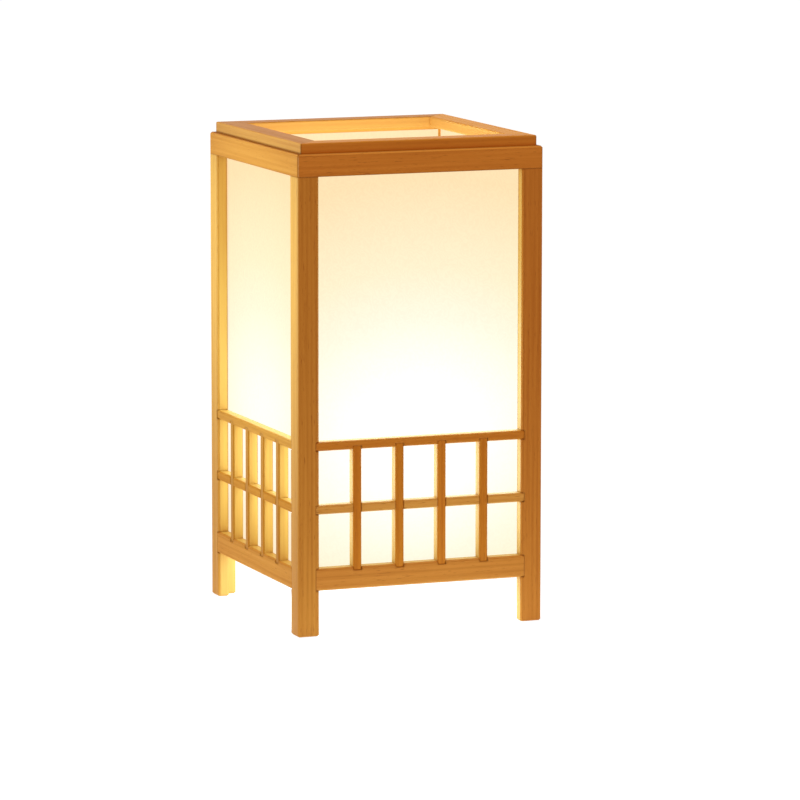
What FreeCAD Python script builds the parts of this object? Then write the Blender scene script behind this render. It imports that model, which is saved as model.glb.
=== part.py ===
# Square paper-lined table lamp in light wood: a post-and-rail lantern with a slatted lower band,
# a mitred top ring under an inset cap, and a screw bulb on a cross board. Millimetres, +Z up,
# origin on the floor at the middle of the plan, front face towards -Y.
import FreeCAD, Part
import math
import os
from collections import namedtuple

Vec = FreeCAD.Vector

# Overall size
HEIGHT = 406.4
SIDE = 215.9

# Carcass: L-shaped corner posts, the bottom rails let into them and the top rails over them
STOCK = 9.0
POST_FACE = 18.5
FOOT_CLEAR = 37.7
BOTTOM_RAIL_H = 18.5
TOP_RAIL_H = 18.5
OUTER_EASE = 2.2
EDGE_EASE = 1.4
FOOT_EASE = 1.2

# Cap: a flat mitred frame, set in from the outside and overhanging the paper inside
CAP_H = 8.7
CAP_W = 20.2
CAP_INSET = 4.4
CAP_EASE = 1.2

# Lattice: two rows of cells between the bottom rail and the sill rail
CELL_H = 45.0
SILL_H = 7.5
MID_BAR_H = 7.5
SLAT_W = 7.5
SLATS_PER_FACE = 4
LATTICE_RECESS = 0.5
LATTICE_EASE = 1.0

# Joinery: ends let in past the eased edges, stub tenons, corner tenons and pegs
FIT = 0.1
BLIND = 0.5
HOUSING = 3.0
TENON_T = 3.5
RAIL_TENON_L = 6.0
RAIL_TENON_H = 11.0
BAR_TENON_L = 6.0
BAR_TENON_H = 4.5
SLAT_TENON_L = 3.0
SLAT_TENON_W = 4.5
CORNER_TENON_W = 4.5
CORNER_TENON_L = 12.0
PEG_W = 3.0
PEG_IN_RAIL = 8.0
PEG_IN_CAP = 5.5
PEG_SPREAD = 110.0

# Paper liner
PAPER_T = 0.3
PAPER_LAP = 9.0
PAPER_TOP_DROP = 4.0
PAPER_CORNER_GAP = 2.0

# Cross board that carries the lampholder
BOARD_T = 9.0
BOARD_W = 44.0
BOARD_DROP = 0.5
BOARD_TENON_L = 4.5
BOARD_TENON_T = 4.0
BOARD_SHOULDER = 7.0

# Threaded tube and lock nut: the tube's bore is the way in for the lead
TUBE_D = 10.0
TUBE_BORE = 6.8
TUBE_BELOW_NUT = 2.0
NUT_FLATS = 14.0
NUT_H = 4.0

# Lampholder: base, sleeve, screw shell and centre contact
HOLDER_WALL = 2.0
HOLDER_AIR = 2.6
HOLDER_BASE_H = 22.0
HOLDER_SPIGOT_H = 8.0
SLEEVE_L = 34.0
TUBE_IN_HOLDER = 10.0
SCREW_SHELL_L = 22.0
SCREW_SHELL_WALL = 0.4
SCREW_PLAY = 0.5
CONTACT_T = 0.5
CONTACT_W = 5.0
CONTACT_RISE = 4.0
CONTACT_FOOT = 3.0
CONTACT_RAMP = 4.5
CONTACT_PAD = 3.0
CONTACT_AIR = 1.2
SEAT_GAP = 0.3

# Bulb: a tubular one, its contact end first
BULB_D = 38.0
BULB_L = 112.0
TIP_D = 9.0
TIP_H = 2.2
INSULATOR_D = 16.0
INSULATOR_H = 3.8
BULB_CAP_D = 26.0
CAP_LIP_D = 19.0
CAP_LIP_H = 2.5
CAP_THREAD_L = 17.5
COLLAR_TAPER_H = 4.0
COLLAR_BAND_H = 10.0
DIFFUSER_EASE = 5.0

# Heights and half sizes that follow from the values above
HALF = SIDE / 2
CAP_BOTTOM = HEIGHT - CAP_H
POST_TOP = CAP_BOTTOM - TOP_RAIL_H
RAIL_TOP = FOOT_CLEAR + BOTTOM_RAIL_H
MID_BAR_Z = RAIL_TOP + CELL_H
SILL_Z = MID_BAR_Z + MID_BAR_H + CELL_H
POST_EDGE = -HALF + POST_FACE
STOCK_BACK = -HALF + STOCK
TENON_Y = -HALF + STOCK / 2
LATTICE_FRONT = -HALF + LATTICE_RECESS
LAP_Y = (LATTICE_FRONT + STOCK_BACK) / 2
SLAT_PITCH = (SIDE - 2 * POST_FACE + SLAT_W) / (SLATS_PER_FACE + 1)
PEG_Y = -HALF + (CAP_INSET + STOCK) / 2
PAPER_BOTTOM = RAIL_TOP - PAPER_LAP
PAPER_TOP = CAP_BOTTOM - PAPER_TOP_DROP
BOARD_TOP = PAPER_BOTTOM - BOARD_DROP
BOARD_BOTTOM = BOARD_TOP - BOARD_T
BOARD_END = HALF - STOCK
TUBE_R = TUBE_D / 2
BULB_CAP_R = BULB_CAP_D / 2
SCREW_SHELL_R = BULB_CAP_R + SCREW_PLAY
HOLDER_BORE_R = SCREW_SHELL_R + SCREW_SHELL_WALL + HOLDER_AIR
HOLDER_R = HOLDER_BORE_R + HOLDER_WALL
TUBE_TOP = BOARD_TOP + TUBE_IN_HOLDER
HOLDER_SEAT = BOARD_TOP + HOLDER_BASE_H
SLEEVE_Z = HOLDER_SEAT - HOLDER_SPIGOT_H
BULB_Z = HOLDER_SEAT + CONTACT_RISE + SEAT_GAP
BULB_TOP = BULB_Z + BULB_L
INSULATOR_Z = BULB_Z + TIP_H
BULB_CAP_Z = INSULATOR_Z + INSULATOR_H
COLLAR_Z = BULB_CAP_Z + CAP_LIP_H + CAP_THREAD_L
DIFFUSER_Z = COLLAR_Z + COLLAR_TAPER_H + COLLAR_BAND_H

FACES = ("front", "right", "back", "left")
CORNERS = ("front_left", "front_right", "back_right", "back_left")

Bar = namedtuple("Bar", "z height front ease tenon_l tenon_h")
BOTTOM_RAIL = Bar(FOOT_CLEAR, BOTTOM_RAIL_H, -HALF, EDGE_EASE, RAIL_TENON_L, RAIL_TENON_H)
MID_BAR = Bar(MID_BAR_Z, MID_BAR_H, LATTICE_FRONT, LATTICE_EASE, BAR_TENON_L, BAR_TENON_H)
SILL_RAIL = Bar(SILL_Z, SILL_H, LATTICE_FRONT, LATTICE_EASE, BAR_TENON_L, BAR_TENON_H)


def box(x0, x1, y0, y1, z0, z1):
    return Part.makeBox(x1 - x0, y1 - y0, z1 - z0, Vec(x0, y0, z0))


def prism(points, z0, z1):
    outline = [Vec(x, y, z0) for x, y in points]
    return Part.Face(Part.makePolygon(outline + outline[:1])).extrude(Vec(0, 0, z1 - z0))


def cylinder(radius, z0, z1):
    return Part.makeCylinder(radius, z1 - z0, Vec(0, 0, z0))


def lathe(points):
    outline = [Vec(r, 0, z) for r, z in points]
    face = Part.Face(Part.makePolygon(outline + outline[:1]))
    return face.revolve(Vec(0, 0, 0), Vec(0, 0, 1), 360)


def quarter_turn(shape, quarters):
    turned = shape.copy()
    turned.rotate(Vec(0, 0, 0), Vec(0, 0, 1), 90 * quarters)
    return turned


def swap_sides(shape):
    return shape.mirror(Vec(0, 0, 0), Vec(1, -1, 0))


def flip_ends(shape):
    return shape.mirror(Vec(0, 0, 0), Vec(1, 0, 0))


def edges_on(shape, **place):
    def on_place(point):
        return all(abs(getattr(point, axis) - value) < 1e-6 for axis, value in place.items())
    return [edge for edge in shape.Edges if all(on_place(vertex.Point) for vertex in edge.Vertexes)]


def loosened(spot, along):
    x, y, z = [BLIND if axis == along else FIT for axis in "xyz"]
    x0, x1, y0, y1, z0, z1 = spot
    return box(x0 - x, x1 + x, y0 - y, y1 + y, z0 - z, z1 + z)


def save(shape, name):
    shape.exportStep(os.path.join("parts", name + ".step"))


# Where the joints lie on the front face and at the front left corner

def end_tenon_spot(bar):
    mid = bar.z + bar.height / 2
    x1 = POST_EDGE - HOUSING
    return (x1 - bar.tenon_l, x1, TENON_Y - TENON_T / 2, TENON_Y + TENON_T / 2,
            mid - bar.tenon_h / 2, mid + bar.tenon_h / 2)


def end_housing(bar):
    return box(POST_EDGE - HOUSING, POST_EDGE + HOUSING, -HALF - HOUSING, STOCK_BACK + HOUSING,
               bar.z - FIT, bar.z + bar.height + FIT)


def corner_tenon_spot():
    low, high = TENON_Y - CORNER_TENON_W / 2, TENON_Y + CORNER_TENON_W / 2
    return low, high, low, high, POST_TOP, POST_TOP + CORNER_TENON_L


def slat_x(index):
    return POST_EDGE - SLAT_W + SLAT_PITCH * (index + 1)


def slat_tenon_spot(index, z0, z1):
    mid = slat_x(index) + SLAT_W / 2
    return (mid - SLAT_TENON_W / 2, mid + SLAT_TENON_W / 2, TENON_Y - TENON_T / 2,
            TENON_Y + TENON_T / 2, z0, z1)


def slat_feet_spot(index):
    top = RAIL_TOP - HOUSING
    return slat_tenon_spot(index, top - SLAT_TENON_L, top)


def slat_head_spot(index):
    low = SILL_Z + HOUSING
    return slat_tenon_spot(index, low, low + SLAT_TENON_L)


def slat_housing(index, z0, z1):
    return box(slat_x(index) - FIT, slat_x(index) + SLAT_W + FIT, -HALF - HOUSING,
               STOCK_BACK + HOUSING, z0, z1)


def board_tenon_spot():
    reach = BOARD_W / 2 - BOARD_SHOULDER
    mid = BOARD_BOTTOM + BOARD_T / 2
    return (BOARD_END, BOARD_END + BOARD_TENON_L, -reach, reach, mid - BOARD_TENON_T / 2,
            mid + BOARD_TENON_T / 2)


def pegs(half, z0, z1):
    return [box(x - half, x + half, PEG_Y - half, PEG_Y + half, z0, z1)
            for x in (-PEG_SPREAD / 2, PEG_SPREAD / 2)]


def all_round(shapes):
    return [quarter_turn(shape, quarters) for quarters in range(4) for shape in shapes]


# Corner posts

def make_post():
    low, arm, face = -HALF, STOCK_BACK, POST_EDGE
    post = prism(((low, low), (face, low), (face, arm), (arm, arm), (arm, face), (low, face)), 0, POST_TOP)
    post = post.makeFillet(OUTER_EASE, edges_on(post, x=low, y=low))
    post = post.makeChamfer(EDGE_EASE, edges_on(post, x=face, y=low) + edges_on(post, x=low, y=face))
    post = post.makeChamfer(FOOT_EASE, edges_on(post, z=0))
    post = post.fuse(box(*corner_tenon_spot()))
    cuts = []
    for bar in (BOTTOM_RAIL, MID_BAR, SILL_RAIL):
        cuts.append(end_housing(bar))
        cuts.append(loosened(end_tenon_spot(bar), "x"))
    cuts += [swap_sides(cut) for cut in cuts]
    return post.cut(cuts)


# Rails and bars between the posts

def make_bar(bar):
    end, top = -POST_EDGE + HOUSING, bar.z + bar.height
    blank = box(-end, end, bar.front, STOCK_BACK, bar.z, top)
    long_edges = edges_on(blank, y=bar.front, z=bar.z) + edges_on(blank, y=bar.front, z=top)
    blank = blank.makeChamfer(bar.ease, long_edges)
    stub = box(*end_tenon_spot(bar))
    return blank.fuse([stub, flip_ends(stub)])


def make_bottom_rail(holds_board):
    cuts = []
    for i in range(SLATS_PER_FACE):
        cuts.append(slat_housing(i, RAIL_TOP - HOUSING, RAIL_TOP + HOUSING))
        cuts.append(loosened(slat_feet_spot(i), "z"))
    if holds_board:
        cuts.append(quarter_turn(loosened(board_tenon_spot(), "x"), -1))
    return make_bar(BOTTOM_RAIL).cut(cuts)


def make_sill_rail():
    cuts = []
    for i in range(SLATS_PER_FACE):
        cuts.append(slat_housing(i, SILL_Z - HOUSING, SILL_Z + HOUSING))
        cuts.append(loosened(slat_head_spot(i), "z"))
    return make_bar(SILL_RAIL).cut(cuts)


def make_mid_bar():
    laps = [box(slat_x(i) - FIT, slat_x(i) + SLAT_W + FIT, -HALF, LAP_Y, MID_BAR_Z - FIT,
                MID_BAR_Z + MID_BAR_H + FIT) for i in range(SLATS_PER_FACE)]
    return make_bar(MID_BAR).cut(laps)


# Upright slats, halved over the mid bar with their faces unbroken

def make_slat(index):
    x0, x1 = slat_x(index), slat_x(index) + SLAT_W
    slat = box(x0, x1, LATTICE_FRONT, STOCK_BACK, RAIL_TOP - HOUSING, SILL_Z + HOUSING)
    long_edges = edges_on(slat, x=x0, y=LATTICE_FRONT) + edges_on(slat, x=x1, y=LATTICE_FRONT)
    slat = slat.makeChamfer(LATTICE_EASE, long_edges)
    slat = slat.fuse([box(*slat_feet_spot(index)), box(*slat_head_spot(index))])
    return slat.cut(box(x0 - FIT, x1 + FIT, LAP_Y, STOCK_BACK + FIT, MID_BAR_Z - FIT,
                        MID_BAR_Z + MID_BAR_H + FIT))


# Mitred frames: each side ends at 45 degrees where it meets the next

def mitred_side(frame):
    reach = SIDE
    return frame.common(prism(((0, 0), (-reach, -reach), (reach, -reach)), 0, 2 * HEIGHT))


def make_top_rail():
    ring = box(-HALF, HALF, -HALF, HALF, POST_TOP, CAP_BOTTOM)
    upright = [edge for x in (-HALF, HALF) for y in (-HALF, HALF) for edge in edges_on(ring, x=x, y=y)]
    ring = ring.makeFillet(OUTER_EASE, upright)
    ring = ring.makeChamfer(EDGE_EASE, edges_on(ring, z=CAP_BOTTOM))
    inner = HALF - STOCK
    cuts = [box(-inner, inner, -inner, inner, POST_TOP, CAP_BOTTOM)]
    cuts += all_round([loosened(corner_tenon_spot(), "z")])
    cuts += all_round(pegs(PEG_W / 2 + FIT, CAP_BOTTOM - PEG_IN_RAIL, CAP_BOTTOM))
    return mitred_side(ring.cut(cuts))


def make_cap_rail():
    outer, inner = CAP_INSET - HALF, CAP_INSET - HALF + CAP_W
    rail = box(-HALF, HALF, outer, inner, CAP_BOTTOM, HEIGHT)
    rail = rail.makeFillet(CAP_EASE, edges_on(rail, y=outer, z=HEIGHT) + edges_on(rail, y=inner, z=HEIGHT))
    return mitred_side(rail).cut(pegs(PEG_W / 2 + FIT, CAP_BOTTOM, CAP_BOTTOM + PEG_IN_CAP))


def make_cap_pegs():
    return Part.makeCompound(all_round(pegs(PEG_W / 2, CAP_BOTTOM - PEG_IN_RAIL + BLIND,
                                            CAP_BOTTOM + PEG_IN_CAP - BLIND)))


# Paper, glued to the back of the posts, rails and slats

def make_paper():
    reach = HALF - STOCK - PAPER_CORNER_GAP
    return box(-reach, reach, STOCK_BACK, STOCK_BACK + PAPER_T, PAPER_BOTTOM, PAPER_TOP)


# Cross board, threaded tube and lock nut

def make_lamp_board():
    board = box(-BOARD_END, BOARD_END, -BOARD_W / 2, BOARD_W / 2, BOARD_BOTTOM, BOARD_TOP)
    stub = box(*board_tenon_spot())
    hole = cylinder(TUBE_R + FIT, BOARD_BOTTOM, BOARD_TOP)
    return board.fuse([stub, flip_ends(stub)]).cut(hole)


def make_threaded_tube():
    z0 = BOARD_BOTTOM - NUT_H - TUBE_BELOW_NUT
    return cylinder(TUBE_R, z0, TUBE_TOP).cut(cylinder(TUBE_BORE / 2, z0, TUBE_TOP))


def make_lock_nut():
    corner_r = NUT_FLATS / math.sqrt(3)
    corners = [(corner_r * math.cos(math.radians(60 * i)), corner_r * math.sin(math.radians(60 * i)))
               for i in range(6)]
    nut = prism(corners, BOARD_BOTTOM - NUT_H, BOARD_BOTTOM)
    return nut.cut(cylinder(TUBE_R + FIT, BOARD_BOTTOM - NUT_H, BOARD_BOTTOM))


# Lampholder

def make_holder_base():
    hole, spigot = TUBE_R + FIT, HOLDER_BORE_R - FIT
    return lathe(((hole, BOARD_TOP), (HOLDER_R, BOARD_TOP), (HOLDER_R, SLEEVE_Z), (spigot, SLEEVE_Z),
                  (spigot, HOLDER_SEAT), (hole, HOLDER_SEAT)))


def make_holder_sleeve():
    rim = SLEEVE_Z + SLEEVE_L
    return lathe(((HOLDER_BORE_R, SLEEVE_Z), (HOLDER_R, SLEEVE_Z), (HOLDER_R, rim), (HOLDER_BORE_R, rim)))


def contact_reach():
    return math.hypot(CONTACT_PAD / 2 + CONTACT_RAMP + CONTACT_FOOT, CONTACT_W / 2)


def make_screw_shell():
    hole, outer = contact_reach() + CONTACT_AIR, SCREW_SHELL_R + SCREW_SHELL_WALL
    top, floor = HOLDER_SEAT + SCREW_SHELL_L, HOLDER_SEAT + SCREW_SHELL_WALL
    return lathe(((hole, HOLDER_SEAT), (outer, HOLDER_SEAT), (outer, top), (SCREW_SHELL_R, top),
                  (SCREW_SHELL_R, floor), (hole, floor)))


def make_centre_contact():
    pad = CONTACT_PAD / 2
    ramp, foot = pad + CONTACT_RAMP, pad + CONTACT_RAMP + CONTACT_FOOT
    low, high = HOLDER_SEAT, HOLDER_SEAT + CONTACT_RISE
    outline = ((-foot, low), (-ramp, low), (-pad, high - CONTACT_T), (pad, high - CONTACT_T), (pad, high),
               (-pad - CONTACT_T, high), (-ramp - CONTACT_T, low + CONTACT_T), (-foot, low + CONTACT_T))
    points = [Vec(x, -CONTACT_W / 2, z) for x, z in outline]
    return Part.Face(Part.makePolygon(points + points[:1])).extrude(Vec(0, CONTACT_W, 0))


# Bulb

def make_bulb_tip():
    return cylinder(TIP_D / 2, BULB_Z, INSULATOR_Z)


def make_bulb_insulator():
    return cylinder(INSULATOR_D / 2, INSULATOR_Z, BULB_CAP_Z)


def make_bulb_cap():
    return lathe(((0, BULB_CAP_Z), (CAP_LIP_D / 2, BULB_CAP_Z), (BULB_CAP_R, BULB_CAP_Z + CAP_LIP_H),
                  (BULB_CAP_R, COLLAR_Z), (0, COLLAR_Z)))


def make_bulb_collar():
    return lathe(((0, COLLAR_Z), (BULB_CAP_R, COLLAR_Z), (BULB_D / 2, COLLAR_Z + COLLAR_TAPER_H),
                  (BULB_D / 2, DIFFUSER_Z), (0, DIFFUSER_Z)))


def make_bulb_diffuser():
    tube = cylinder(BULB_D / 2, DIFFUSER_Z, BULB_TOP)
    return tube.makeChamfer(DIFFUSER_EASE, edges_on(tube, z=BULB_TOP))


# The assembly

os.makedirs("parts", exist_ok=True)

post = make_post()
face_pieces = {"top_rail": make_top_rail(), "cap_rail": make_cap_rail(), "sill_rail": make_sill_rail(),
               "mid_bar": make_mid_bar(), "paper": make_paper()}
for i in range(SLATS_PER_FACE):
    face_pieces["slat_%d" % (i + 1)] = make_slat(i)
for quarters, (face, corner) in enumerate(zip(FACES, CORNERS)):
    save(quarter_turn(post, quarters), corner + "_post")
    save(quarter_turn(make_bottom_rail(face in ("left", "right")), quarters), face + "_bottom_rail")
    for piece, shape in face_pieces.items():
        save(quarter_turn(shape, quarters), face + "_" + piece)

save(make_cap_pegs(), "cap_pegs")
save(make_lamp_board(), "lamp_board")
save(make_threaded_tube(), "threaded_tube")
save(make_lock_nut(), "lock_nut")
save(make_holder_base(), "holder_base")
save(make_holder_sleeve(), "holder_sleeve")
save(make_screw_shell(), "screw_shell")
save(make_centre_contact(), "centre_contact")
save(make_bulb_tip(), "bulb_tip")
save(make_bulb_insulator(), "bulb_insulator")
save(make_bulb_cap(), "bulb_cap")
save(make_bulb_collar(), "bulb_collar")
save(make_bulb_diffuser(), "bulb_diffuser")
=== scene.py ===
import math

import bmesh
import bpy
from mathutils import Matrix, Vector


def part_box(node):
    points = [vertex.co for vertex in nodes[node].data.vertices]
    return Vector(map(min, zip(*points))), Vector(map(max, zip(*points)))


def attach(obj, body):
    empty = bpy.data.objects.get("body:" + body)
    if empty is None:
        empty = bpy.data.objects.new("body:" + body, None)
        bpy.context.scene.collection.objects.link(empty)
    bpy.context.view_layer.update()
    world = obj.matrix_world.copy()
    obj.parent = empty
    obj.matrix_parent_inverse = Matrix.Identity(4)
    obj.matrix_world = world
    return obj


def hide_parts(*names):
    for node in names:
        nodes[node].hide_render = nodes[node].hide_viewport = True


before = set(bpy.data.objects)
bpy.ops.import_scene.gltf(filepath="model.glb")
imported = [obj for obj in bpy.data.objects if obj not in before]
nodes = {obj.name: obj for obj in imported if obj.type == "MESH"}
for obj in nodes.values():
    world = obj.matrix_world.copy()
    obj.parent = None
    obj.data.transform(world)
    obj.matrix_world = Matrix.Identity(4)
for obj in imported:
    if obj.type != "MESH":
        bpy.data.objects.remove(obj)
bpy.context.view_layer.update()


# Corner posts. Four posts of pale close-grained wood, L-shaped in plan, whose lower ends are the
# legs. They are sawn with the grain upright and lacquered outside, and their eased edges are
# darkened with painted shade. The faces that look inwards or at the paper are bare, and are
# painted paler for the lamp's light on them. Each post's tone partly paints how its sides are lit.

WOOD_PALE = (0.690, 0.330, 0.074)
WOOD_MID = (0.630, 0.282, 0.058)
WOOD_DARK = (0.540, 0.222, 0.043)
WOOD_PORE = (0.400, 0.145, 0.026, 1)
# The colour that the painted shade along the edges darkens to.
WOOD_EDGE_SHADE = (0.330, 0.110, 0.015, 1)
# The colour of the painted shade and dark joint line where the cap meets the top rails.
WOOD_SEAM_AND_SHADE = (0.270, 0.085, 0.008, 1)
# Bare wood, paler and yellower, which partly paints the lamp's light on the inward faces.
BARE_LIT_DARK, BARE_LIT_PALE = (0.560, 0.300, 0.080, 1), (0.660, 0.390, 0.105, 1)
RING_SHARE, STREAK_SHARE, FIBRE_SHARE = 0.16, 0.90, 0.30
FIGURE_RANGE, PORE_RANGE = (0.38, 0.98), (0.66, 0.80)
EDGE_WIDTH, EDGE_FLAT, EDGE_TURNED = 0.0016, 0.995, 0.80
OUTER_LIMIT = 0.5
UPRIGHT = (0, 0, 0)


def fill(tree, node, sockets):
    """Links or sets the named sockets of a node."""
    for socket, value in sockets.items():
        if isinstance(value, bpy.types.NodeSocket):
            tree.links.new(value, node.inputs[socket])
        else:
            node.inputs[socket].default_value = value


def put(tree, kind, sockets=None, **settings):
    """Adds a node with its settings, and fills its sockets."""
    node = tree.nodes.new(kind)
    for setting, value in settings.items():
        setattr(node, setting, value)
    fill(tree, node, sockets or {})
    return node


def reckon(tree, operation, *values):
    """Works out a number from other numbers."""
    return put(tree, "ShaderNodeMath", dict(enumerate(values)), operation=operation).outputs[0]


def measure(tree, operation, *vectors):
    """Works out a number from vectors."""
    made = put(tree, "ShaderNodeVectorMath", dict(enumerate(vectors)), operation=operation)
    return made.outputs["Value"]


def multiply(tree, vector, factor):
    made = put(tree, "ShaderNodeVectorMath", {0: vector, 1: factor}, operation="MULTIPLY")
    return made.outputs[0]


def spread(tree, value, start, end, low=0, high=1, **settings):
    """Turns the values from start to end into those from low to high, and stops there."""
    limits = {"From Min": start, "From Max": end, "To Min": low, "To Max": high}
    return put(tree, "ShaderNodeMapRange", {"Value": value, **limits}, **settings).outputs[0]


def blend(tree, share, below, above):
    """Goes from one colour to another as share goes from 0 to 1."""
    made = put(tree, "ShaderNodeMix", {"Factor": share, "A": below, "B": above}, data_type="RGBA")
    return made.outputs["Result"]


def grade(tree, share, stops):
    """Goes through several colours, each given with its place between 0 and 1."""
    ramp = put(tree, "ShaderNodeValToRGB", {"Fac": share})
    elements = ramp.color_ramp.elements
    first, *between, last = stops
    for element, (place, colour) in zip(elements, (first, last)):
        element.position, element.color = place, colour
    for place, colour in between:
        elements.new(place).color = colour
    return ramp.outputs[0]


def tinted(colour, tint):
    return [channel * share for channel, share in zip(colour, tint)] + [1]


def start_group(name, inputs, outputs):
    """Starts a node group, and gives it with what goes into it and the node for its results."""
    group = bpy.data.node_groups.new(name, "ShaderNodeTree")
    for way, sockets in (("INPUT", inputs), ("OUTPUT", outputs)):
        for socket, kind in sockets.items():
            group.interface.new_socket(socket, in_out=way, socket_type=kind)
    given = group.nodes.new("NodeGroupInput").outputs
    return group, given, group.nodes.new("NodeGroupOutput")


def make_wood_grain():
    """Straight grain along Z: growth lines about a far pith, streaks, fine fibre, short pores."""
    group, given, result = start_group(
        "wood_grain", {"Place": "NodeSocketVector"},
        {"Figure": "NodeSocketFloat", "Pores": "NodeSocketFloat", "Height": "NodeSocketFloat"})

    def drawn_out(length):
        """The place, shortened along the grain so that a pattern is drawn out that way."""
        return multiply(group, given["Place"], (1, 1, length))

    def lines(length, scale, detail):
        sockets = {"Vector": drawn_out(length), "Scale": scale, "Detail": detail}
        return put(group, "ShaderNodeTexNoise", sockets).outputs["Fac"]

    rings = put(group, "ShaderNodeTexWave",
                {"Vector": drawn_out(length=0.06), "Scale": 75, "Distortion": 5, "Detail": 3,
                 "Detail Scale": 0.5}, wave_type="RINGS", rings_direction="Z").outputs["Fac"]
    streaks = lines(length=0.02, scale=420, detail=4)
    fibre = lines(length=0.03, scale=2600, detail=2)
    pores = spread(group, lines(length=0.07, scale=1700, detail=1), *PORE_RANGE)
    figure = reckon(group, "MULTIPLY", rings, RING_SHARE)
    figure = reckon(group, "MULTIPLY_ADD", streaks, STREAK_SHARE, figure)
    figure = reckon(group, "MULTIPLY_ADD", fibre, FIBRE_SHARE, figure)
    figure = spread(group, figure, *FIGURE_RANGE)
    fill(group, result, {"Figure": figure, "Pores": pores,
                         "Height": reckon(group, "SUBTRACT", figure, pores)})
    return group


wood_grain = make_wood_grain()


def blank_material(name):
    material = bpy.data.materials.new(name)
    material.use_nodes = True
    return material, material.node_tree, material.node_tree.nodes["Principled BSDF"]


def wood(name, grain, pith, tone=(1, 1, 1), edge=0.18, outer=(), seam=None, shine=0.15):
    """Lacquered wood for one stick. Grain turns its length to Z, pith moves the middle of its
    growth rings, and tone makes it paler or redder than its neighbours, in part as painted
    light. Edge says how far its edges darken with painted shade. Outer gives the one or two ways
    that its lacquered faces look, if the rest are bare; the bare ones are painted paler for the
    lamp's light on them. A band of painted shade and a dark joint line can be given as two
    heights between which the wood darkens, and how far."""
    material, tree, surface = blank_material(name)
    place = put(tree, "ShaderNodeTexCoord").outputs["Object"]
    turned = put(tree, "ShaderNodeMapping",
                 {"Vector": place, "Rotation": grain, "Location": pith}).outputs[0]
    figure = put(tree, "ShaderNodeGroup", {"Place": turned}, node_tree=wood_grain).outputs
    colour = grade(tree, figure["Figure"], [(0, tinted(WOOD_DARK, tone)),
                                            (0.5, tinted(WOOD_MID, tone)),
                                            (1, tinted(WOOD_PALE, tone))])
    colour = blend(tree, figure["Pores"], colour, WOOD_PORE)
    rounded = put(tree, "ShaderNodeBevel", {"Radius": EDGE_WIDTH}, samples=6).outputs[0]
    true = put(tree, "ShaderNodeNewGeometry").outputs["Normal"]
    flat = measure(tree, "DOT_PRODUCT", rounded, true)
    # Painted shade darkens the eased edges.
    colour = blend(tree, spread(tree, flat, EDGE_FLAT, EDGE_TURNED, high=edge), colour, WOOD_EDGE_SHADE)
    # A band of painted shade with a dark joint line, between two heights.
    if seam:
        start, end, depth = seam
        height = put(tree, "ShaderNodeSeparateXYZ", {0: place}).outputs["Z"]
        colour = blend(tree, spread(tree, height, start, end, high=depth), colour, WOOD_SEAM_AND_SHADE)
    # Faces that look inwards are bare, and their paler colour partly paints the lamp's light on
    # them.
    if outer:
        ways = [measure(tree, "DOT_PRODUCT", true, way) for way in outer]
        inner = reckon(tree, "LESS_THAN", reckon(tree, "MAXIMUM", ways[0], ways[-1]), OUTER_LIMIT)
        colour = blend(tree, inner, colour, blend(tree, figure["Figure"], BARE_LIT_DARK, BARE_LIT_PALE))
    relief = put(tree, "ShaderNodeBump", {"Strength": 0.25, "Distance": 0.0002,
                                          "Height": figure["Height"], "Normal": rounded})
    fill(tree, surface, {"Base Color": colour, "Normal": relief.outputs[0],
                         "Roughness": spread(tree, figure["Height"], 0, 1, low=0.56, high=0.44),
                         "Specular IOR Level": shine})
    return material


def cover(node, material):
    nodes[node].data.materials.clear()
    nodes[node].data.materials.append(material)


OUTWARD = {"front": (0, -1, 0), "right": (1, 0, 0), "back": (0, 1, 0), "left": (-1, 0, 0)}
# Each post's tone partly paints how brightly its sides are lit.
POST_LIT_TONES = {"front_left": (0.97, 1.04, 0.95), "front_right": (0.95, 0.90, 0.80),
              "back_right": (0.96, 1.0, 0.93), "back_left": (1.01, 1.12, 1.02)}
POST_EDGE_SHADE = 0.65
POST_PITH, POST_PITH_STEP = Vector((0.05, 0.11, 0)), Vector((0.03, 0, 0.4))

for index, (corner, tone) in enumerate(POST_LIT_TONES.items()):
    post = corner + "_post"
    cover(post, wood(post + "_wood", UPRIGHT, POST_PITH + index * POST_PITH_STEP, tone, POST_EDGE_SHADE,
                     outer=[OUTWARD[face] for face in corner.split("_")]))


# Bottom rails. One between each pair of posts, a leg's height above the floor, with stub tenons in
# the posts. The same wood with its grain level, a little paler than the posts. The front and the
# other sides take their own tones, which partly paint how each side is lit.

ALONG_X, ALONG_Y = (0, -math.pi / 2, 0), (math.pi / 2, 0, 0)
FACES = {"front": ALONG_X, "right": ALONG_Y, "back": ALONG_X, "left": ALONG_Y}
FRONT, OTHERS = ("front",), ("right", "back", "left")
PITH_STEP = 0.037
DULL = 0.05
BOTTOM_PITH, BOTTOM_EDGE_SHADE = (0.02, 0.09, 0.3), 0.3


def cover_faces(piece, pith, faces, tone, also=(), **finish):
    """Gives the like pieces of some faces their wood, each with growth rings of its own. Their
    outer faces are lacquered, and so are those that look the way named in also."""
    for face in faces:
        name = face + "_" + piece
        shift = PITH_STEP * list(FACES).index(face)
        cover(name, wood(name + "_wood", FACES[face], [middle + shift for middle in pith], tone,
                         outer=(OUTWARD[face],) + also, **finish))


cover_faces("bottom_rail", BOTTOM_PITH, FRONT, tone=(1.01, 1.03, 1.04), edge=BOTTOM_EDGE_SHADE)
cover_faces("bottom_rail", BOTTOM_PITH, OTHERS, tone=(1.01, 1.04, 0.90), edge=BOTTOM_EDGE_SHADE,
            shine=DULL)


# Mid bars. A thin level bar of the same wood across the slatted band of each face, halved behind
# the slats, with stub tenons in the posts. The front one has the palest tone of the frame and the
# others a darker, yellower one: tones that partly paint how each side is lit.

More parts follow.
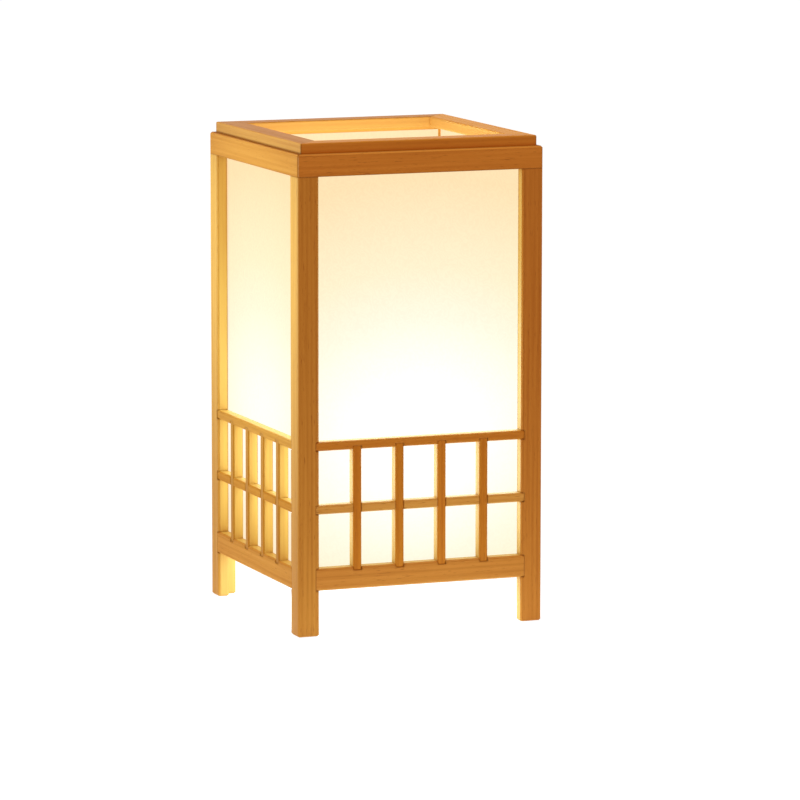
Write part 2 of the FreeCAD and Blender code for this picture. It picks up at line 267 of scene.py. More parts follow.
MID_PITH = (0.13, 0.06, 0.7)

cover_faces("mid_bar", MID_PITH, FRONT, tone=(1.15, 1.42, 1.80))
cover_faces("mid_bar", MID_PITH, OTHERS, tone=(0.92, 0.88, 0.44), shine=DULL)


# Slats. Four upright slats of the same wood on each face, halved over the mid bar so that their
# faces run through unbroken, with stub tenons in the bottom rail and the sill rail.

# Front and other slats take their own tones, which partly paint how each side is lit.
FRONT_SLAT_LIT_TONES = ((0.95, 0.83, 0.40), (0.98, 0.89, 0.44), (1.02, 0.92, 0.51), (0.96, 0.87, 0.45))
OTHER_SLAT_LIT_TONES = ((0.80, 0.79, 0.32), (0.80, 0.76, 0.32), (0.82, 0.79, 0.34), (0.79, 0.75, 0.31))
SLAT_PITH = Vector((0.08, 0, 0))
SLAT_ROW_STEP, SLAT_FACE_STEP = Vector((0.05, 0, 0.21)), Vector((0, 0.03, 0))

for index, face in enumerate(FACES):
    tones = FRONT_SLAT_LIT_TONES if face in FRONT else OTHER_SLAT_LIT_TONES
    for row, tone in enumerate(tones, 1):
        slat = "%s_slat_%d" % (face, row)
        pith = SLAT_PITH + row * SLAT_ROW_STEP + index * SLAT_FACE_STEP
        cover(slat, wood(slat + "_wood", UPRIGHT, pith, tone, outer=(OUTWARD[face],)))


# Sill rails. Level bars of the same wood that close the slatted band and carry the foot of the
# plain window above it. Stub tenons hold them in the posts, and the slats end in them.

SILL_PITH = (0.07, 0.12, 1.1)

# The front sill and the others take their own tones, which partly paint how each side is lit.
cover_faces("sill_rail", SILL_PITH, FRONT, tone=(1.0, 0.93, 0.65))
cover_faces("sill_rail", SILL_PITH, OTHERS, tone=(0.93, 0.96, 0.78), shine=DULL)


# Top rails. Four rails of the same wood laid over the post tops and mitred at the corners, with the
# posts' corner tenons in them. The narrow ledge along the foot of the cap is darkened as painted
# shade, with a dark joint line, more on the other sides than on the front.

UP = (0, 0, 1)
TOP_PITH = (0.10, 0.05, 1.7)
SEAM_SHADE_WIDTH, FRONT_SEAM_AND_SHADE, OTHER_SEAM_AND_SHADE = 0.0009, 0.4, 0.75
FRONT_TOP_EDGE_SHADE, OTHER_EDGE_SHADE = 0.7, 0.42
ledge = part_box("front_top_rail")[1][2]

# The front top rail and the others take their own tones, which partly paint how each side is lit.
cover_faces("top_rail", TOP_PITH, FRONT, tone=(1.11, 1.08, 0.98), also=(UP,), edge=FRONT_TOP_EDGE_SHADE,
            seam=(ledge - SEAM_SHADE_WIDTH, ledge, FRONT_SEAM_AND_SHADE))
cover_faces("top_rail", TOP_PITH, OTHERS, tone=(0.87, 0.79, 0.64), also=(UP,), edge=OTHER_EDGE_SHADE,
            seam=(ledge - SEAM_SHADE_WIDTH, ledge, OTHER_SEAM_AND_SHADE), shine=DULL)


# Cap pegs. Short square pegs split from the same wood, with their grain upright. They are glued
# into the top rails and the cap, and key the one to the other.

PEG_PITH = (0.03, 0.02, 0.1)

cover("cap_pegs", wood("cap_peg_wood", UPRIGHT, PEG_PITH))


# Cap rails. A flat frame of four mitred rails of the same wood, set in from the outside and pegged
# on the top rails. Its inner edge stands in over the paper.

CAP_PITH = (0.04, 0.14, 2.3)
# On every side but the front, the cap's foot is darkened: painted shade with a dark joint line.
CAP_SEAM_AND_SHADE = (ledge + 2 * SEAM_SHADE_WIDTH, ledge + SEAM_SHADE_WIDTH, OTHER_SEAM_AND_SHADE)
FRONT_CAP_EDGE_SHADE = 0.12
# Each side's cap rail takes its own tone, which partly paints how that side is lit.
OTHER_CAP_LIT_TONES = {"right": (1.15, 1.16, 0.50), "back": (0.82, 0.77, 0.55),
                   "left": (0.82, 0.77, 0.55)}

cover_faces("cap_rail", CAP_PITH, FRONT, tone=(1.06, 1.02, 0.76), also=(UP,), edge=FRONT_CAP_EDGE_SHADE)
for face, tone in OTHER_CAP_LIT_TONES.items():
    cover_faces("cap_rail", CAP_PITH, (face,), tone, also=(UP,), edge=OTHER_EDGE_SHADE, seam=CAP_SEAM_AND_SHADE)


# Paper. Four sheets of thin white fibre paper glued to the back of the frame. Lit from inside, they
# are whitest beside the bulb and turn to cream away from it. Clouds of fibre show faintly in them.
# Each sheet's glow has its own tint, the left's the creamiest, as painted light.

PAPER = (0.08, 0.076, 0.068)
PULP_RANGE, FLECK_RANGE = (0, 1.6), (0.965, 1.02)
GLOW_MIDDLE, GLOW_SPREAD, GLOW_REACH = 0.160, 0.8, 0.25
GLOW = ((0.035, (1.0, 1.0, 0.97)), (0.070, (0.82, 0.81, 0.79)), (0.100, (0.73, 0.71, 0.63)),
        (0.127, (0.65, 0.63, 0.51)), (0.161, (0.65, 0.58, 0.41)), (0.228, (0.64, 0.50, 0.30)))
# Painted light: each sheet's glow is tinted by its side.
SHEET_LIGHT_TINTS = {"front": (1, 1, 1), "right": (1, 0.96, 0.93), "back": (1, 0.96, 0.93),
               "left": (1, 0.87, 0.79)}


def lit_paper(name, tint):
    """Paper with the bulb behind it: its light fades and warms with the distance from the bulb."""
    material, tree, surface = blank_material(name)
    place = put(tree, "ShaderNodeTexCoord").outputs["Object"]
    centred = put(tree, "ShaderNodeMapping", {"Vector": place, "Location": (0, 0, -GLOW_MIDDLE),
                                              "Scale": (GLOW_SPREAD, GLOW_SPREAD, 1)}).outputs[0]
    away = reckon(tree, "DIVIDE", measure(tree, "LENGTH", centred), GLOW_REACH)
    glow = grade(tree, away, [(distance / GLOW_REACH, tinted(colour, tint))
                              for distance, colour in GLOW])
    clouds = put(tree, "ShaderNodeTexNoise", {"Vector": place, "Scale": 90, "Detail": 5,
                                              "Distortion": 1.5}).outputs["Fac"]
    fibres = put(tree, "ShaderNodeTexWave",
                 {"Vector": place, "Scale": 60, "Distortion": 30, "Detail": 4,
                  "Detail Scale": 1.4}, bands_direction="DIAGONAL").outputs["Fac"]
    pulp = reckon(tree, "ADD", clouds, fibres)
    fleck = spread(tree, pulp, *PULP_RANGE, *FLECK_RANGE)
    relief = put(tree, "ShaderNodeBump", {"Strength": 0.2, "Distance": 0.0002, "Height": pulp})
    fill(tree, surface, {"Base Color": multiply(tree, PAPER, fleck),
                         "Emission Color": multiply(tree, glow, fleck), "Emission Strength": 1.5,
                         "Normal": relief.outputs[0], "Roughness": 0.85,
                         "Specular IOR Level": 0.1})
    return material


for face, tint in SHEET_LIGHT_TINTS.items():
    cover(face + "_paper", lit_paper(face + "_sheet", tint))


# Cross board. A plain board of the same wood between two bottom rails, tenoned into them.
# It carries the lampholder, which the tube clamps through a hole in its middle.

BOARD_PITH = (0.02, 0.03, 3.1)

cover("lamp_board", wood("lamp_board_wood", ALONG_X, BOARD_PITH, tone=(1.05, 1.1, 1.1)))


# Threaded tube. A short steel tube, zinc plated, with a fine thread rolled along its whole outside.
# It clamps the lampholder to the cross board, and its bore is the way in for the lead.

TUBE_BORE, TUBE_PITCH, TUBE_DEPTH, TUBE_STEPS = 0.0034, 0.001, 0.0006, 24
ZINC, ZINC_DULL = (0.62, 0.61, 0.57, 1), (0.46, 0.47, 0.45, 1)
SMUDGE_RANGE, MARKS_RANGE = (0.35, 0.68), (0, 1.6)
WAVE_POINTS, TURNS_BELOW, SPARE_TURNS = 8, 2, 3
SAME_PLACE, SAME_PLANE = 1e-6, 1e-7
SHARP_ANGLE = math.radians(40)


def make_handling():
    """Marks of making and handling: cloudy smudges, and fine lathe lines round the lamp's axis."""
    group, given, result = start_group(
        "handling", {"Place": "NodeSocketVector", "Cloud Scale": "NodeSocketFloat"},
        {"Smudge": "NodeSocketFloat", "Lathe": "NodeSocketFloat"})
    clouds = put(group, "ShaderNodeTexNoise", {"Vector": given["Place"], "Detail": 5,
                                               "Scale": given["Cloud Scale"]}).outputs["Fac"]
    level = multiply(group, given["Place"], (0.04, 0.04, 1))
    lines = put(group, "ShaderNodeTexNoise", {"Vector": level, "Scale": 2400, "Detail": 3})
    fill(group, result, {"Smudge": spread(group, clouds, *SMUDGE_RANGE),
                         "Lathe": lines.outputs["Fac"]})
    return group


handling = make_handling()


def small_finish(name, colour, worn, gloss, relief, metal=0.0, cloud=160):
    """A finish for the small fittings: two close colours in clouds of the given scale, with gloss,
    the least and most roughness, and the depth of relief following the marks of the lathe."""
    material, tree, surface = blank_material(name)
    place = put(tree, "ShaderNodeTexCoord").outputs["Object"]
    marks = put(tree, "ShaderNodeGroup", {"Place": place, "Cloud Scale": cloud},
                node_tree=handling).outputs
    both = reckon(tree, "ADD", marks["Smudge"], marks["Lathe"])
    bump = put(tree, "ShaderNodeBump", {"Strength": 0.2, "Distance": relief,
                                        "Height": marks["Lathe"]})
    fill(tree, surface, {"Base Color": blend(tree, marks["Smudge"], colour, worn),
                         "Roughness": spread(tree, both, *MARKS_RANGE, *gloss),
                         "Normal": bump.outputs[0], "Metallic": metal})
    return material


def wind_thread(mesh, crest, root, pitch, foot, top, steps):
    """Winds a rounded thread about the lamp's axis and cuts it square at foot and top."""
    turns = math.ceil((top - foot) / pitch) + SPARE_TURNS
    middle, half = (crest + root) / 2, (crest - root) / 2
    wave = []
    for point in range(WAVE_POINTS + 1):
        share = point / WAVE_POINTS
        wave.append(mesh.verts.new((middle + half * math.cos(2 * math.pi * share), 0,
                                    foot + pitch * (share - TURNS_BELOW))))
    line = [mesh.edges.new(pair) for pair in zip(wave, wave[1:])]
    bmesh.ops.spin(mesh, geom=wave + line, cent=(0, 0, 0), axis=(0, 0, 1),
                   dvec=(0, 0, pitch / steps), angle=2 * math.pi * turns, steps=steps * turns)
    bmesh.ops.remove_doubles(mesh, verts=mesh.verts, dist=SAME_PLACE)
    for height, away in ((foot, -1), (top, 1)):
        bmesh.ops.bisect_plane(mesh, geom=mesh.verts[:] + mesh.edges[:] + mesh.faces[:],
                               dist=SAME_PLANE, plane_co=(0, 0, height), plane_no=(0, 0, away),
                               clear_outer=True)


def rim(mesh, height):
    """The open edge of a mesh at a height."""
    return [edge for edge in mesh.edges if edge.is_boundary
            and all(abs(vert.co.z - height) < SAME_PLACE for vert in edge.verts)]


def add_circle(mesh, radius, height, steps):
    verts = bmesh.ops.create_circle(mesh, cap_ends=False, segments=steps, radius=radius,
                                    matrix=Matrix.Translation((0, 0, height)))["verts"]
    return list({edge for vert in verts for edge in vert.link_edges})


def settle(mesh, name, material, node, body):
    """Finishes a mesh as the piece that stands for a CAD node."""
    bmesh.ops.recalc_face_normals(mesh, faces=mesh.faces)
    data = bpy.data.meshes.new(name)
    mesh.to_mesh(data)
    mesh.free()
    data.shade_smooth()
    data.set_sharp_from_angle(angle=SHARP_ANGLE)
    data.materials.append(material)
    piece = bpy.data.objects.new(name, data)
    bpy.context.scene.collection.objects.link(piece)
    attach(piece, body)
    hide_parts(node)


def ends_of(node):
    """The heights of a round node's foot and top, and its radius."""
    low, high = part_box(node)
    return low[2], high[2], high[0]


def make_tube():
    foot, top, radius = ends_of("threaded_tube")
    mesh = bmesh.new()
    wind_thread(mesh, radius, radius - TUBE_DEPTH, TUBE_PITCH, foot, top, TUBE_STEPS)
    outer = [rim(mesh, height) for height in (foot, top)]
    inner = [add_circle(mesh, TUBE_BORE, height, TUBE_STEPS) for height in (foot, top)]
    for near, far in (*zip(outer, inner), inner):
        bmesh.ops.bridge_loops(mesh, edges=near + far)
    plate = small_finish("zinc_plate", ZINC, ZINC_DULL, gloss=(0.28, 0.45), relief=0.00002,
                         metal=1.0)
    settle(mesh, "plated_tube", plate, "threaded_tube", "lantern")


make_tube()


# Lock nut. A thin hexagon nut, pressed from steel and zinc plated. It is run up the tube against
# the under side of the cross board.

cover("lock_nut", small_finish("zinc_plate_nut", ZINC, ZINC_DULL, gloss=(0.30, 0.50),
                               relief=0.00003, metal=1.0, cloud=240))


# Holder base. A ring of glazed porcelain, pressed in a die, with a spigot that the sleeve fits
# over. It stands on the cross board about the tube.

BASE_BORE, SPIGOT_RADIUS, BASE_ROUND = 0.0051, 0.0164, 0.0009
GLAZE, GLAZE_CREAM = (0.80, 0.79, 0.74, 1), (0.74, 0.72, 0.66, 1)
AT_CORNER = 1e-5


def turn_outline(outline, steps=96):
    """Turns an outline of (radius, height) points about the lamp's axis. It is closed unless it
    starts on the axis."""
    mesh = bmesh.new()
    verts = [mesh.verts.new((radius, 0, height)) for radius, height in outline]
    pairs = list(zip(verts, verts[1:]))
    if outline[0][0] > 0:
        pairs.append((verts[-1], verts[0]))
    line = [mesh.edges.new(pair) for pair in pairs]
    bmesh.ops.spin(mesh, geom=verts + line, cent=(0, 0, 0), axis=(0, 0, 1), angle=2 * math.pi,
                   steps=steps, use_merge=True)
    bmesh.ops.remove_doubles(mesh, verts=mesh.verts, dist=SAME_PLACE)
    return mesh


def round_off(mesh, outline, chosen, width, segments=5):
    """Rounds the corners of a turned outline, given by their numbers in it."""
    places = [Vector(outline[number]) for number in chosen]

    def in_outline(vert):
        return Vector((vert.co.xy.length, vert.co.z))

    rings = [edge for edge in mesh.edges
             if any(all((in_outline(vert) - place).length < AT_CORNER for vert in edge.verts)
                    for place in places)]
    bmesh.ops.bevel(mesh, geom=rings, offset=width, segments=segments, profile=0.5,
                    affect="EDGES", material=-1)


def make_holder_base():
    foot, top, radius = ends_of("holder_base")
    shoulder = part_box("holder_sleeve")[0][2]
    outline = [(BASE_BORE, foot), (radius, foot), (radius, shoulder), (SPIGOT_RADIUS, shoulder),
               (SPIGOT_RADIUS, top), (BASE_BORE, top)]
    mesh = turn_outline(outline)
    round_off(mesh, outline, (1, 4, 5), BASE_ROUND)
    glaze = small_finish("porcelain_glaze", GLAZE, GLAZE_CREAM, gloss=(0.08, 0.20),
                         relief=0.00001, cloud=60)
    settle(mesh, "glazed_base", glaze, "holder_base", "lantern")


make_holder_base()


# Holder sleeve. A brown-black moulded sleeve pushed over the base's spigot, with a rounded lip and
# a raised grip ring at each end. It covers the screw shell and stays cool enough to touch.

SLEEVE_WALL, SLEEVE_ROUND, GRIP_WIDTH, GRIP_DEPTH = 0.0020, 0.0007, 0.0060, 0.0005
BROWN, BROWN_WORN = (0.030, 0.022, 0.017, 1), (0.052, 0.038, 0.030, 1)


def make_holder_sleeve():
    foot, top, radius = ends_of("holder_sleeve")
    inside, waist = radius - SLEEVE_WALL, radius - GRIP_DEPTH
    low, high = foot + GRIP_WIDTH, top - GRIP_WIDTH
    outline = [(inside, foot), (radius, foot), (radius, low), (waist, low + GRIP_DEPTH),
               (waist, high - GRIP_DEPTH), (radius, high), (radius, top), (inside, top)]
    mesh = turn_outline(outline)
    round_off(mesh, outline, (6, 7), SLEEVE_ROUND)
    moulding = small_finish("phenolic_moulding", BROWN, BROWN_WORN, gloss=(0.28, 0.46),
                            relief=0.00002, cloud=110)
    settle(mesh, "moulded_sleeve", moulding, "holder_sleeve", "lantern")


make_holder_sleeve()


# Screw shell. Thin brass sheet rolled into a coarse round thread, with a flange turned in at its
# foot. It is riveted to the base inside the sleeve and takes the bulb's cap.

SHELL_CREST, SHELL_ROOT, SHELL_WALL, FLANGE_HOLE = 0.0137, 0.0132, 0.0002, 0.01054
LAMP_PITCH, LAMP_STEPS = 0.00363, 64
BRASS, BRASS_TARNISH = (0.72, 0.47, 0.17, 1), (0.52, 0.30, 0.10, 1)


def make_screw_shell():
    foot, top, _ = ends_of("screw_shell")
    foot += SHELL_WALL
    mesh = bmesh.new()
    wind_thread(mesh, SHELL_CREST, SHELL_ROOT, LAMP_PITCH, foot, top - SHELL_WALL, LAMP_STEPS)
    flange = rim(mesh, foot) + add_circle(mesh, FLANGE_HOLE, foot, LAMP_STEPS)
    bmesh.ops.bridge_loops(mesh, edges=flange)
    bmesh.ops.recalc_face_normals(mesh, faces=mesh.faces)
    bmesh.ops.solidify(mesh, geom=mesh.faces[:], thickness=SHELL_WALL)
    brass = small_finish("brass_sheet", BRASS, BRASS_TARNISH, gloss=(0.22, 0.42), relief=0.00002,
                         metal=1.0)
    settle(mesh, "rolled_shell", brass, "screw_shell", "lantern")


make_screw_shell()


# Centre contact. A tongue of brass strip, bent up from the holder base through the shell's flange.
# It is springy enough to press up against the bulb's tip.

cover("centre_contact", small_finish("brass_tongue", BRASS, BRASS_TARNISH, gloss=(0.25, 0.45),
                                     relief=0.00003, metal=1.0, cloud=300))


# Bulb tip. A button of solder run on under the glass bead at the bottom of the bulb.
# It is the bulb's middle contact and rests on the brass tongue.

TIP_FLAT, TIP_DOME, TIP_SHOULDER, TIP_ROUND = 0.72, 0.0003, 0.0012, 0.0004
SOLDER, SOLDER_DULL = (0.56, 0.56, 0.54, 1), (0.42, 0.42, 0.41, 1)


def make_bulb_tip():
    foot, top, radius = ends_of("bulb_tip")
    outline = [(0, foot), (radius * TIP_FLAT, foot + TIP_DOME), (radius, foot + TIP_SHOULDER),
               (radius, top), (0, top)]
    mesh = turn_outline(outline, steps=48)
    round_off(mesh, outline, (1, 2), TIP_ROUND, segments=4)
    solder = small_finish("solder", SOLDER, SOLDER_DULL, gloss=(0.30, 0.50), relief=0.00004,
                          metal=1.0, cloud=500)
    settle(mesh, "solder_tip", solder, "bulb_tip", "bulb")


make_bulb_tip()


# Bulb insulator. A tapered bead of black glass, fused between the tip and the screw cap.
# It keeps the two contacts apart.

BEAD_FLAT, BEAD_TAPER, BEAD_ROUND = 0.62, 0.0026, 0.0008
BLACK_GLASS, GREY_GLASS = (0.012, 0.012, 0.014, 1), (0.025, 0.024, 0.026, 1)


def make_bulb_insulator():
    foot, top, radius = ends_of("bulb_insulator")
    outline = [(0, foot), (radius * BEAD_FLAT, foot), (radius, foot + BEAD_TAPER), (radius, top),
               (0, top)]
    mesh = turn_outline(outline, steps=64)
    round_off(mesh, outline, (1, 2), BEAD_ROUND, segments=4)
    glass = small_finish("black_glass", BLACK_GLASS, GREY_GLASS, gloss=(0.06, 0.16),
                         relief=0.00001, cloud=300)
    settle(mesh, "glass_bead", glass, "bulb_insulator", "bulb")


make_bulb_insulator()


# Bulb cap. Nickel-plated sheet rolled into the coarse round thread that screws into the shell.
# Its foot is drawn in to hold the glass bead, and its plain top is pressed into the collar.

CAP_DEPTH, CAP_LIP, CAP_LIP_HEIGHT, CAP_PLAIN = 0.0007, 0.0095, 0.0025, 0.0030
NICKEL, NICKEL_DULL = (0.66, 0.64, 0.60, 1), (0.50, 0.48, 0.45, 1)


def make_bulb_cap():
    foot, top, radius = ends_of("bulb_cap")
    low, high = foot + CAP_LIP_HEIGHT, top - CAP_PLAIN
    mesh = bmesh.new()
    wind_thread(mesh, radius, radius - CAP_DEPTH, LAMP_PITCH, low, high, LAMP_STEPS)
    thread_foot, thread_top = rim(mesh, low), rim(mesh, high)
    lip = add_circle(mesh, CAP_LIP, foot, LAMP_STEPS)
    band = add_circle(mesh, radius, high + CAP_DEPTH, LAMP_STEPS)
    edge = add_circle(mesh, radius, top, LAMP_STEPS)
    for near, far in ((thread_foot, lip), (thread_top, band), (band, edge)):
        bmesh.ops.bridge_loops(mesh, edges=near + far)
    bmesh.ops.holes_fill(mesh, edges=lip + edge, sides=0)
    nickel = small_finish("nickel_plate", NICKEL, NICKEL_DULL, gloss=(0.20, 0.40), relief=0.00002,
                          metal=1.0)
    settle(mesh, "screw_cap", nickel, "bulb_cap", "bulb")


make_bulb_cap()


# Bulb collar. White moulded plastic, flared from the screw cap to the diffuser.
# The cap is pressed into its foot, and the diffuser snaps into the band above its groove.

COLLAR_FLARE, COLLAR_ROUND, COLLAR_GROOVE, GROOVE_DROP = 0.0040, 0.0012, 0.0006, 0.0025
WHITE_PLASTIC, CREAM_PLASTIC = (0.78, 0.77, 0.72, 1), (0.73, 0.71, 0.64, 1)


def make_bulb_collar():
    foot, top, radius = ends_of("bulb_collar")
    neck = ends_of("bulb_cap")[2]
    groove = top - GROOVE_DROP
    outline = [(0, foot), (neck, foot), (radius, foot + COLLAR_FLARE),
               (radius, groove - COLLAR_GROOVE), (radius - COLLAR_GROOVE, groove),
               (radius, groove + COLLAR_GROOVE), (radius, top), (0, top)]
    mesh = turn_outline(outline)
    round_off(mesh, outline, (2,), COLLAR_ROUND)
    plastic = small_finish("white_plastic", WHITE_PLASTIC, CREAM_PLASTIC, gloss=(0.34, 0.48),
                           relief=0.00003, cloud=90)
    settle(mesh, "plastic_collar", plastic, "bulb_collar", "bulb")


make_bulb_collar()


# Bulb diffuser. A tube of opal plastic, moulded with a rounded, slightly domed end, that snaps into
# the collar. It is lit, and a little less bright close to the collar.

DIFFUSER_ROUND, DIFFUSER_DOME, DIFFUSER_DIM_SHARE = 0.007, 0.0012, 0.2
OPAL, OPAL_CREAM = (0.82, 0.80, 0.75, 1), (0.77, 0.74, 0.67, 1)
BULB_LIGHT, BULB_EDGE_LIGHT = (0.48, 0.49, 0.40, 1), (0.30, 0.27, 0.18, 1)


def lit_opal(foot, top):
    material, tree, surface = blank_material("lit_opal")
    place = put(tree, "ShaderNodeTexCoord").outputs["Object"]
    marks = put(tree, "ShaderNodeGroup", {"Place": place, "Cloud Scale": 120},
                node_tree=handling).outputs
    height = put(tree, "ShaderNodeSeparateXYZ", {0: place}).outputs["Z"]
    rise = spread(tree, height, foot, foot + DIFFUSER_DIM_SHARE * (top - foot))
    fill(tree, surface, {"Base Color": blend(tree, marks["Smudge"], OPAL, OPAL_CREAM),
                         "Roughness": spread(tree, marks["Smudge"], 0, 1, low=0.32, high=0.46),
                         "Emission Color": blend(tree, rise, BULB_EDGE_LIGHT, BULB_LIGHT),
                         "Emission Strength": 1})
    return material


def make_bulb_diffuser():
    foot, top, radius = ends_of("bulb_diffuser")
    outline = [(0, top), (radius, top - DIFFUSER_DOME), (radius, foot), (0, foot)]
    mesh = turn_outline(outline)
    round_off(mesh, outline, (1,), DIFFUSER_ROUND, segments=8)
    settle(mesh, "opal_tube", lit_opal(foot, top), "bulb_diffuser", "bulb")


make_bulb_diffuser()


# Floor. A plain white sweep under the lamp. What the camera sees of it is near white and keeps the
# soft shadow. A pool of the lamp's light is painted on it round the foot. The camera doesn't see
# it, but its light comes back to the legs and rails.

FLOOR_SIDE = 60
FLOOR_GREY = (0.7, 0.7, 0.7, 1)
FLOOR_SHADE, FLOOR_WHITE = (0.26, 0.30, 0.35, 1), (0.87, 0.91, 0.95, 1)
POOL_COLOUR, POOL_INSIDE, POOL_OUTSIDE = (0.67, 0.76, 0.66, 1), 0.17, 0.37


def background_rays(tree):
    """Rays that see the floor or the room as a background: the camera's, and those by way of gloss
    or glass."""
    rays = put(tree, "ShaderNodeLightPath").outputs
    seen = reckon(tree, "MAXIMUM", rays["Is Camera Ray"], rays["Is Glossy Ray"])
    return reckon(tree, "MAXIMUM", seen, rays["Is Transmission Ray"])


def make_floor():
    mesh = bmesh.new()
    bmesh.ops.create_grid(mesh, x_segments=1, y_segments=1, size=FLOOR_SIDE / 2)
    data = bpy.data.meshes.new("floor")
    mesh.to_mesh(data)
    mesh.free()
    floor = bpy.data.objects.new("floor", data)
    bpy.context.scene.collection.objects.link(floor)
    material, tree, _ = blank_material("white_floor")
    tree.nodes.clear()
    shade = put(tree, "ShaderNodeBsdfDiffuse", {"Color": FLOOR_SHADE})
    white = put(tree, "ShaderNodeEmission", {"Color": FLOOR_WHITE, "Strength": 1})
    pale = put(tree, "ShaderNodeAddShader", {0: shade.outputs[0], 1: white.outputs[0]})
    away = measure(tree, "LENGTH", put(tree, "ShaderNodeTexCoord").outputs["Object"])
    # A painted pool of light round the lamp's foot, whose glow comes back to the lamp.
    reach = spread(tree, away, POOL_OUTSIDE, POOL_INSIDE, interpolation_type="SMOOTHSTEP")
    grey = put(tree, "ShaderNodeBsdfDiffuse", {"Color": FLOOR_GREY})
    pool = put(tree, "ShaderNodeEmission", {"Color": POOL_COLOUR, "Strength": reach})
    lit = put(tree, "ShaderNodeAddShader", {0: grey.outputs[0], 1: pool.outputs[0]})
    mixed = put(tree, "ShaderNodeMixShader",
                {0: background_rays(tree), 1: lit.outputs[0], 2: pale.outputs[0]})
    put(tree, "ShaderNodeOutputMaterial", {"Surface": mixed.outputs[0]})
    material.cycles.emission_sampling = "NONE"
    data.materials.append(material)


make_floor()


# Light. A warm soft room all round, a square panel overhead, and a small narrow panel low at the
# left rear for the upper part of the left face. The bulb's own light on the wood comes from panels
# at the paper, the mouth and the foot, which the camera doesn't see.

ROOM_LIGHT, ROOM_WHITE = (0.63, 0.372, 0.198, 1), (1, 1, 1, 1)
PANEL_COLOUR, PANEL_WATTS = (0.66, 0.96, 0.86), 0.57
PANEL_PLACE, PANEL_AIM = Vector((-2.2, 0.95, 0.33)), Vector((-0.108, -0.01, 0.31))
PANEL_SIZE, PANEL_SPREAD = 0.3, math.radians(12)
TOP_COLOUR, TOP_WATTS = (0.85, 1.0, 0.55), 9.0
TOP_PLACE, TOP_AIM, TOP_SIZE = Vector((0, 0, 1.9)), Vector((0, 0, 0)), 0.6
SHEET_SIDE, SHEET_FOOT, SHEET_TOP = 0.178, 0.057, 0.377
SHEET_GAP, SHEET_WATTS, SHEET_COLOUR = 0.0002, 0.46, (1, 1, 1)
SHEET_DIM = (0.29, 0.39, 0.21, 1)
SHEET_BRIGHT, SHEET_GOLD = (0.67, 0.96, 1.0, 1), (0.70, 0.98, 0.72, 1)
SHEET_GLOW = (0.057, 0.095, 0.200, 0.310)
INSIDE_SIDE = 0.19
MOUTH_HEIGHT, MOUTH_WATTS, MOUTH_COLOUR = 0.365, 0.26, (1.0, 0.94, 0.72)
FOOT_HEIGHT, FOOT_WATTS, FOOT_COLOUR = 0.036, 0.45, (0.72, 1.0, 1.0)


def light_room():
    world = bpy.data.worlds.new("room")
    bpy.context.scene.world = world
    world.use_nodes = True
    tree = world.node_tree
    tree.nodes.clear()
    warm = put(tree, "ShaderNodeBackground", {"Color": ROOM_LIGHT, "Strength": 1})
    white = put(tree, "ShaderNodeBackground", {"Color": ROOM_WHITE, "Strength": 1})
    mixed = put(tree, "ShaderNodeMixShader",
                {0: background_rays(tree), 1: warm.outputs[0], 2: white.outputs[0]})
    put(tree, "ShaderNodeOutputWorld", {"Surface": mixed.outputs[0]})


def hang_light(name, place, aim, watts, colour, shape, size):
    """Hangs a flat panel of light that the camera doesn't see."""
    lamp = bpy.data.lights.new(name, "AREA")
    lamp.energy = watts
    lamp.color = colour
    lamp.shape = shape
    lamp.size = size
    panel = bpy.data.objects.new(name, lamp)
    panel.location = place
    panel.rotation_euler = (aim - place).to_track_quat("-Z", "Y").to_euler()
    panel.visible_camera = False
    bpy.context.scene.collection.objects.link(panel)
    return lamp


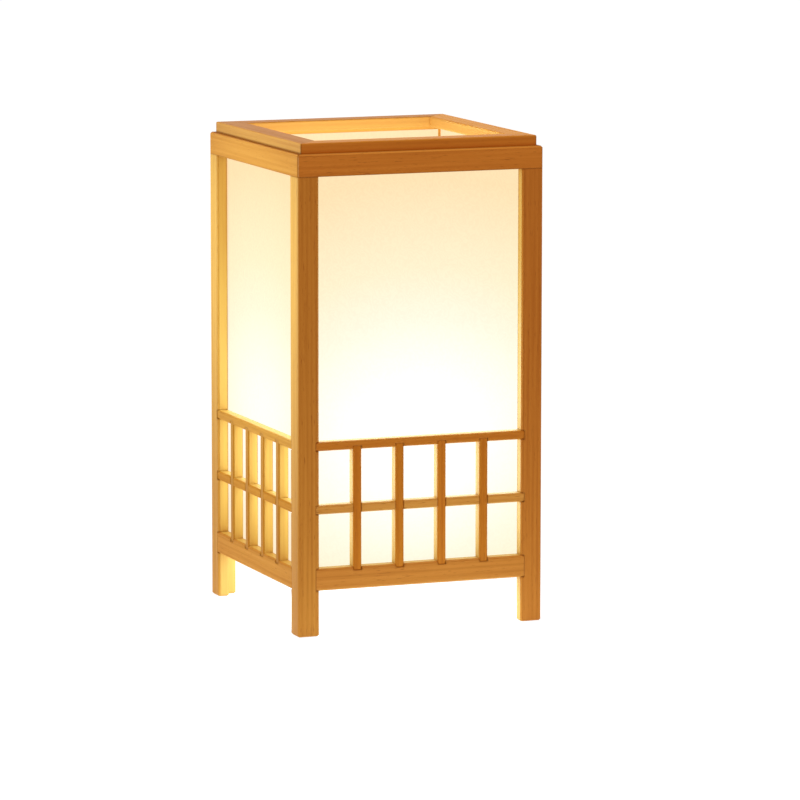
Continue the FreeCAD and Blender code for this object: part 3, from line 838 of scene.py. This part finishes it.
def light_sheet(face):
    """Gives the sticks in front of a sheet of paper more light than a white on the screen can
    hold, and the most beside the bulb."""
    outward = Vector(OUTWARD[face])
    low, high = (Vector(corner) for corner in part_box(face + "_paper"))
    outside = Vector((max(abs(low.x), high.x) * outward.x, max(abs(low.y), high.y) * outward.y,
                      (SHEET_FOOT + SHEET_TOP) / 2))
    lamp = hang_light(face + "_glow", outside + SHEET_GAP * outward, outside + outward,
                      SHEET_WATTS, SHEET_COLOUR, "RECTANGLE", SHEET_SIDE)
    lamp.size_y = SHEET_TOP - SHEET_FOOT
    lamp.use_nodes = True
    tree = lamp.node_tree
    place = put(tree, "ShaderNodeNewGeometry").outputs["Position"]
    height = put(tree, "ShaderNodeSeparateXYZ", {0: place}).outputs["Z"]
    levels = [(level - SHEET_FOOT) / (SHEET_TOP - SHEET_FOOT) for level in SHEET_GLOW]
    bright = SHEET_BRIGHT if face in FRONT else SHEET_GOLD
    glow = grade(tree, spread(tree, height, SHEET_FOOT, SHEET_TOP),
                 list(zip(levels, (SHEET_DIM, bright, bright, SHEET_DIM))))
    fill(tree, tree.nodes["Emission"], {"Color": glow})


def light_inside(name, height, way, watts, colour):
    """What the bulb sends out through the open mouth and the open foot."""
    place = Vector((0, 0, height))
    hang_light(name, place, place + Vector((0, 0, way)), watts, colour, "SQUARE", INSIDE_SIDE)


light_room()
light_inside("mouth_glow", MOUTH_HEIGHT, 1, MOUTH_WATTS, MOUTH_COLOUR)
light_inside("foot_glow", FOOT_HEIGHT, -1, FOOT_WATTS, FOOT_COLOUR)
left_panel = hang_light("left_panel", PANEL_PLACE, PANEL_AIM, PANEL_WATTS, PANEL_COLOUR, "DISK",
                        PANEL_SIZE)
left_panel.spread = PANEL_SPREAD
hang_light("top_panel", TOP_PLACE, TOP_AIM, TOP_WATTS, TOP_COLOUR, "SQUARE", TOP_SIZE)
for face in OUTWARD:
    light_sheet(face)


# Camera. It stands at the photograph's angle and distance, fitted to the lamp's corners there.
# Its shift puts the lamp where it stands in the photograph's frame.

AZIMUTH, ELEVATION = math.radians(-21.05), math.radians(8.09)
DISTANCE, AIM = 4.32, Vector((0, 0, 0.2))
IMAGE_SIDE, FOCAL_PIXELS = 800, 5132.9
AIM_PIXEL = (374.1, 372.6)

back = Vector((math.sin(AZIMUTH) * math.cos(ELEVATION), -math.cos(AZIMUTH) * math.cos(ELEVATION),
               math.sin(ELEVATION)))
camera = bpy.data.objects.new("camera", bpy.data.cameras.new("camera"))
camera.data.lens = FOCAL_PIXELS / IMAGE_SIDE * camera.data.sensor_width
camera.data.shift_x = 0.5 - AIM_PIXEL[0] / IMAGE_SIDE
camera.data.shift_y = AIM_PIXEL[1] / IMAGE_SIDE - 0.5
camera.location = AIM + DISTANCE * back
camera.rotation_euler = (math.pi / 2 - ELEVATION, 0, AZIMUTH)
bpy.context.scene.collection.objects.link(camera)
bpy.context.scene.camera = camera
bpy.context.scene.view_settings.view_transform = "Standard"
